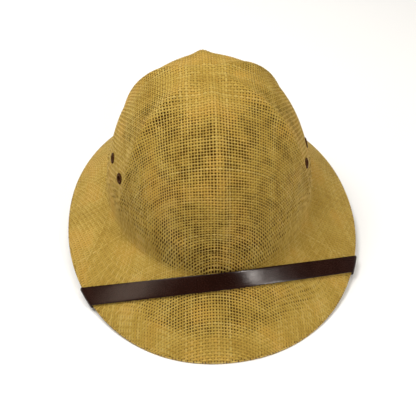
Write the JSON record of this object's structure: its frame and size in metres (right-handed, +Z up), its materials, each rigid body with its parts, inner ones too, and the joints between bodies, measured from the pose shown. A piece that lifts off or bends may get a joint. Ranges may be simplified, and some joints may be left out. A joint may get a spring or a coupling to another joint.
{
  "type": "sun helmet",
  "caption": "Woven straw sun helmet with a ribbed crown, a sloping oval brim, side vent eyelets and a leather-look chin strap worn across the front of the brim.",
  "frame": {"origin": "centre of the base of the bounding box, on the surface that the hat rests on", "axes": "+Z is up, the front of the hat looks along -Y and the wearer's left is +X"},
  "size_m": [0.276, 0.324, 0.1585],
  "materials": {
    "woven_straw": "matte woven paper straw",
    "eyelet_metal": "dark brown, satin",
    "strap_leather": "glossy dark brown, fine grain"
  },
  "bodies": {
    "root": {"shell": "woven_straw", "eyelet_right_front": "eyelet_metal", "eyelet_right_rear": "eyelet_metal", "eyelet_left_front": "eyelet_metal", "eyelet_left_rear": "eyelet_metal", "chin_strap": "strap_leather"}
  },
  "joints": []
}
